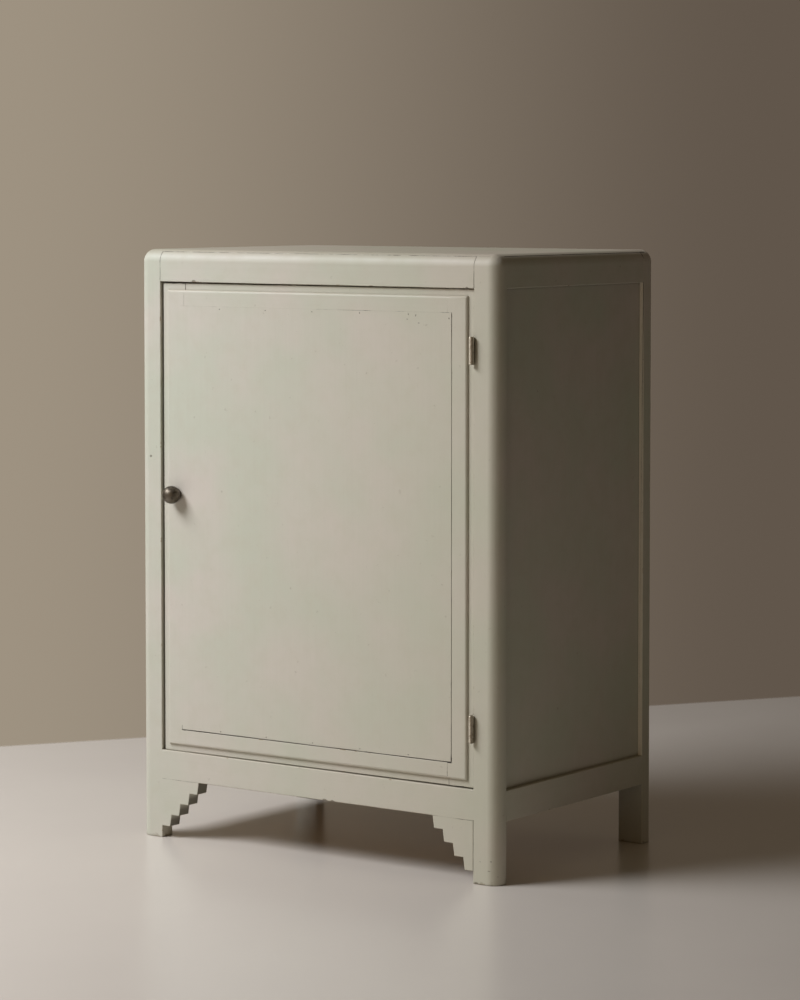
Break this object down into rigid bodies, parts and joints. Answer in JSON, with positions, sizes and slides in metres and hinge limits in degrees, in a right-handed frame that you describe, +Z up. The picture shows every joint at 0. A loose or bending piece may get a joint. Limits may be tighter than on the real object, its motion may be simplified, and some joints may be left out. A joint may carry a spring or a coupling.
{
  "type": "cabinet",
  "caption": "Floor-standing painted wooden cupboard with an inset framed door on lift-off hinges, a ball knob, shelves inside and stepped brackets under the front rail.",
  "frame": {"origin": "on the floor, under the middle of the bounding box, knob included", "axes": "+Z up, the door faces -Y, the hinges are on the +X side"},
  "size_m": [0.7, 0.4584, 0.95],
  "materials": {
    "painted_wood": "aged eggshell paint, grey-green cream",
    "bare_pine": "bare aged pine",
    "plywood": "bare plywood",
    "dark_bronze": "dark patinated bronze",
    "aged_hinge_steel": "dull aged steel",
    "plain_steel": "plain steel, slightly dulled"
  },
  "bodies": {
    "carcass": {"back_bottom_rail": "painted_wood", "back_panel": "plywood", "back_panel_nails": "plain_steel", "back_top_rail": "painted_wood", "batten_screws": "plain_steel", "bottom_board": "bare_pine", "door_stop_strip": "bare_pine", "front_bottom_rail": "painted_wood", "front_top_rail": "painted_wood", "hinge_frame_screws": "plain_steel", "left_back_post": "painted_wood", "left_bottom_batten": "bare_pine", "left_front_post": "painted_wood", "left_shelf_1_batten": "bare_pine", "left_shelf_2_batten": "bare_pine", "left_side_bottom_rail": "painted_wood", "left_side_panel": "painted_wood", "left_side_top_rail": "painted_wood", "left_stepped_bracket": "painted_wood", "left_top_batten": "bare_pine", "lower_hinge_frame_leaf": "aged_hinge_steel", "lower_hinge_pin": "aged_hinge_steel", "right_back_post": "painted_wood", "right_bottom_batten": "bare_pine", "right_front_post": "painted_wood", "right_shelf_1_batten": "bare_pine", "right_shelf_2_batten": "bare_pine", "right_side_bottom_rail": "painted_wood", "right_side_panel": "painted_wood", "right_side_top_rail": "painted_wood", "right_stepped_bracket": "painted_wood", "right_top_batten": "bare_pine", "shelf_1": "bare_pine", "shelf_2": "bare_pine", "top_board": "painted_wood", "upper_hinge_frame_leaf": "aged_hinge_steel", "upper_hinge_pin": "aged_hinge_steel"},
    "door": {"door_bottom_rail": "painted_wood", "door_left_stile": "painted_wood", "door_panel": "painted_wood", "door_panel_pins": "plain_steel", "door_right_stile": "painted_wood", "door_top_rail": "painted_wood", "knob_rosette": "dark_bronze", "hinge_door_screws": "plain_steel", "lower_hinge_door_leaf": "aged_hinge_steel", "upper_hinge_door_leaf": "aged_hinge_steel"},
    "latch": {"knob": "dark_bronze", "knob_spindle": "plain_steel", "latch_spacer": "plain_steel", "latch_tongue": "plain_steel", "spindle_nut": "plain_steel"}
  },
  "joints": [
    {"name": "door_swing", "type": "hinge", "parent": "carcass", "child": "door", "pos_m": [0.305, -0.20555, 0.5], "axis": [0, 0, 1], "range_deg": [0, 170]},
    {"name": "knob_turn", "type": "hinge", "parent": "door", "child": "latch", "pos_m": [-0.273, -0.20075, 0.5585], "axis": [0, 1, 0], "range_deg": [0, 90]}
  ]
}
